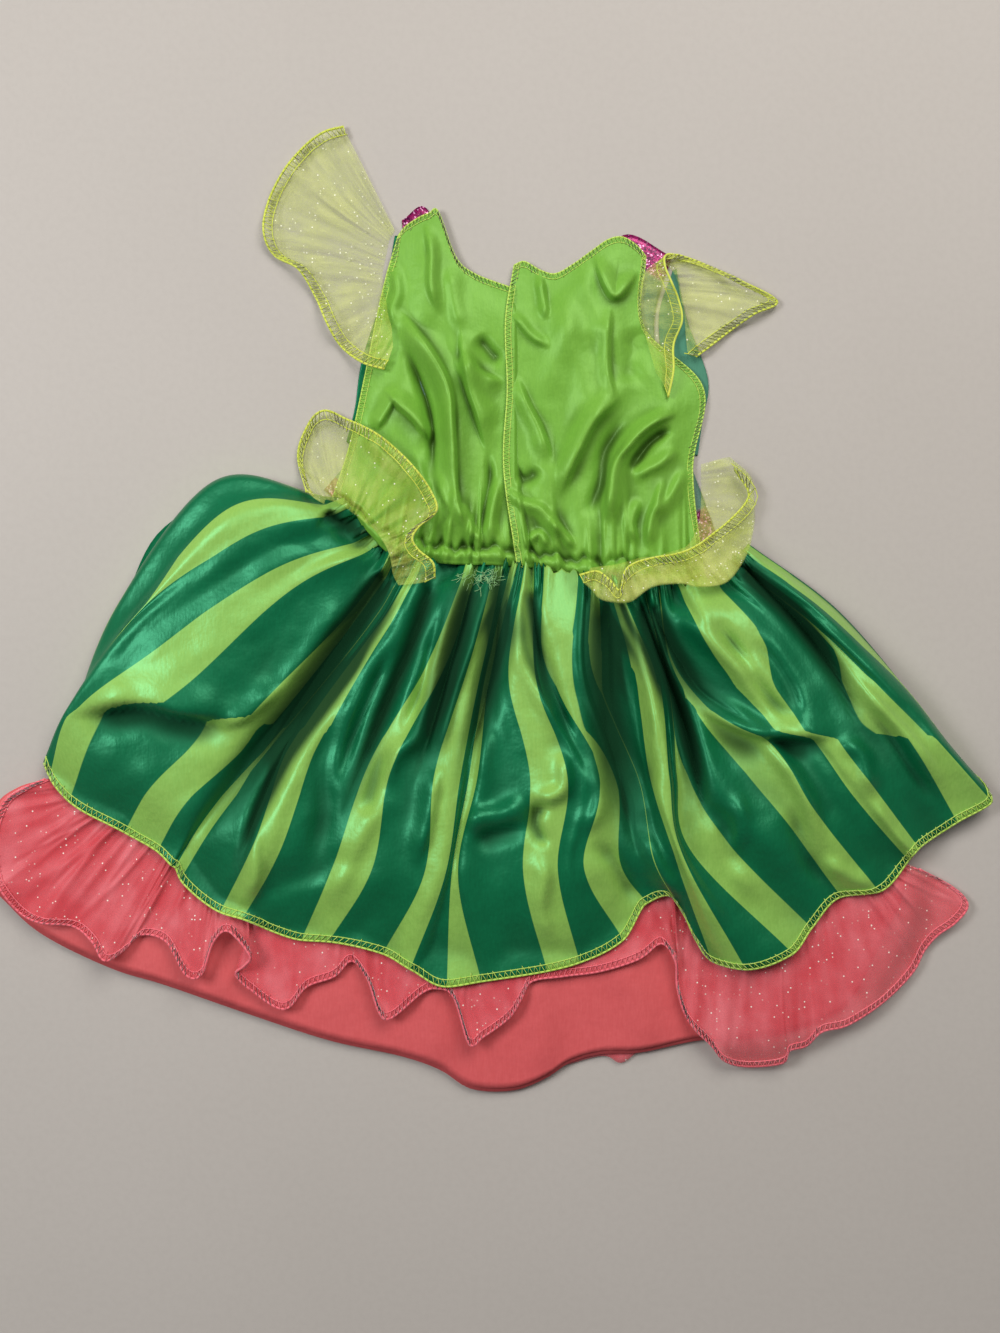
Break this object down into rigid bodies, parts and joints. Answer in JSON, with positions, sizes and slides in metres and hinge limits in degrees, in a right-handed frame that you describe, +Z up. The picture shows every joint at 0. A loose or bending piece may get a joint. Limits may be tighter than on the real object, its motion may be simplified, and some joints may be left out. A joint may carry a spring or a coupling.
{
  "type": "child's costume dress",
  "caption": "Child's costume dress laid face down: satin bodice with a back opening, sheer frilled armholes and waist, gathered striped overskirt over a coral underskirt with a ruffle.",
  "frame": {"origin": "centre of the bounding box in plan, on the surface that the dress lies on", "axes": "+Z up from the surface, +Y towards the neck, +X towards the right side of the laid dress as seen from above"},
  "size_m": [0.5782, 0.5574, 0.0352],
  "materials": {
    "overskirt_stripe_satin": "satin with dark green and lime stripes",
    "overskirt_under_satin": "satin with dark green and lime stripes",
    "bodice_glitter": "magenta glitter fabric",
    "side_satin_left": "dark green satin",
    "side_satin_right": "dark green satin",
    "bodice_satin_left": "lime satin",
    "bodice_satin_right": "lime satin",
    "lining_satin": "coral lining satin",
    "lining_satin_under": "coral lining satin",
    "glitter_tulle": "coral tulle with glitter",
    "glitter_tulle_under": "coral tulle with glitter",
    "organza_sleeve_left": "sheer yellow-lime organza",
    "organza_sleeve_right": "sheer yellow-lime organza",
    "organza_peplum_left": "sheer yellow-lime organza",
    "organza_peplum_right": "sheer yellow-lime organza"
  },
  "bodies": {
    "root": {"overskirt_back": "overskirt_stripe_satin", "overskirt_front": "overskirt_under_satin", "bodice_front": "bodice_glitter", "bodice_side_left": "side_satin_left", "bodice_side_right": "side_satin_right", "bodice_back_left": "bodice_satin_left", "bodice_back_right": "bodice_satin_right", "lining_back": "lining_satin", "lining_front": "lining_satin_under", "frill_back": "glitter_tulle", "frill_front": "glitter_tulle_under", "sleeve_frill_left": "organza_sleeve_left", "sleeve_frill_right": "organza_sleeve_right", "peplum_left": "organza_peplum_left", "peplum_right": "organza_peplum_right"}
  },
  "joints": []
}
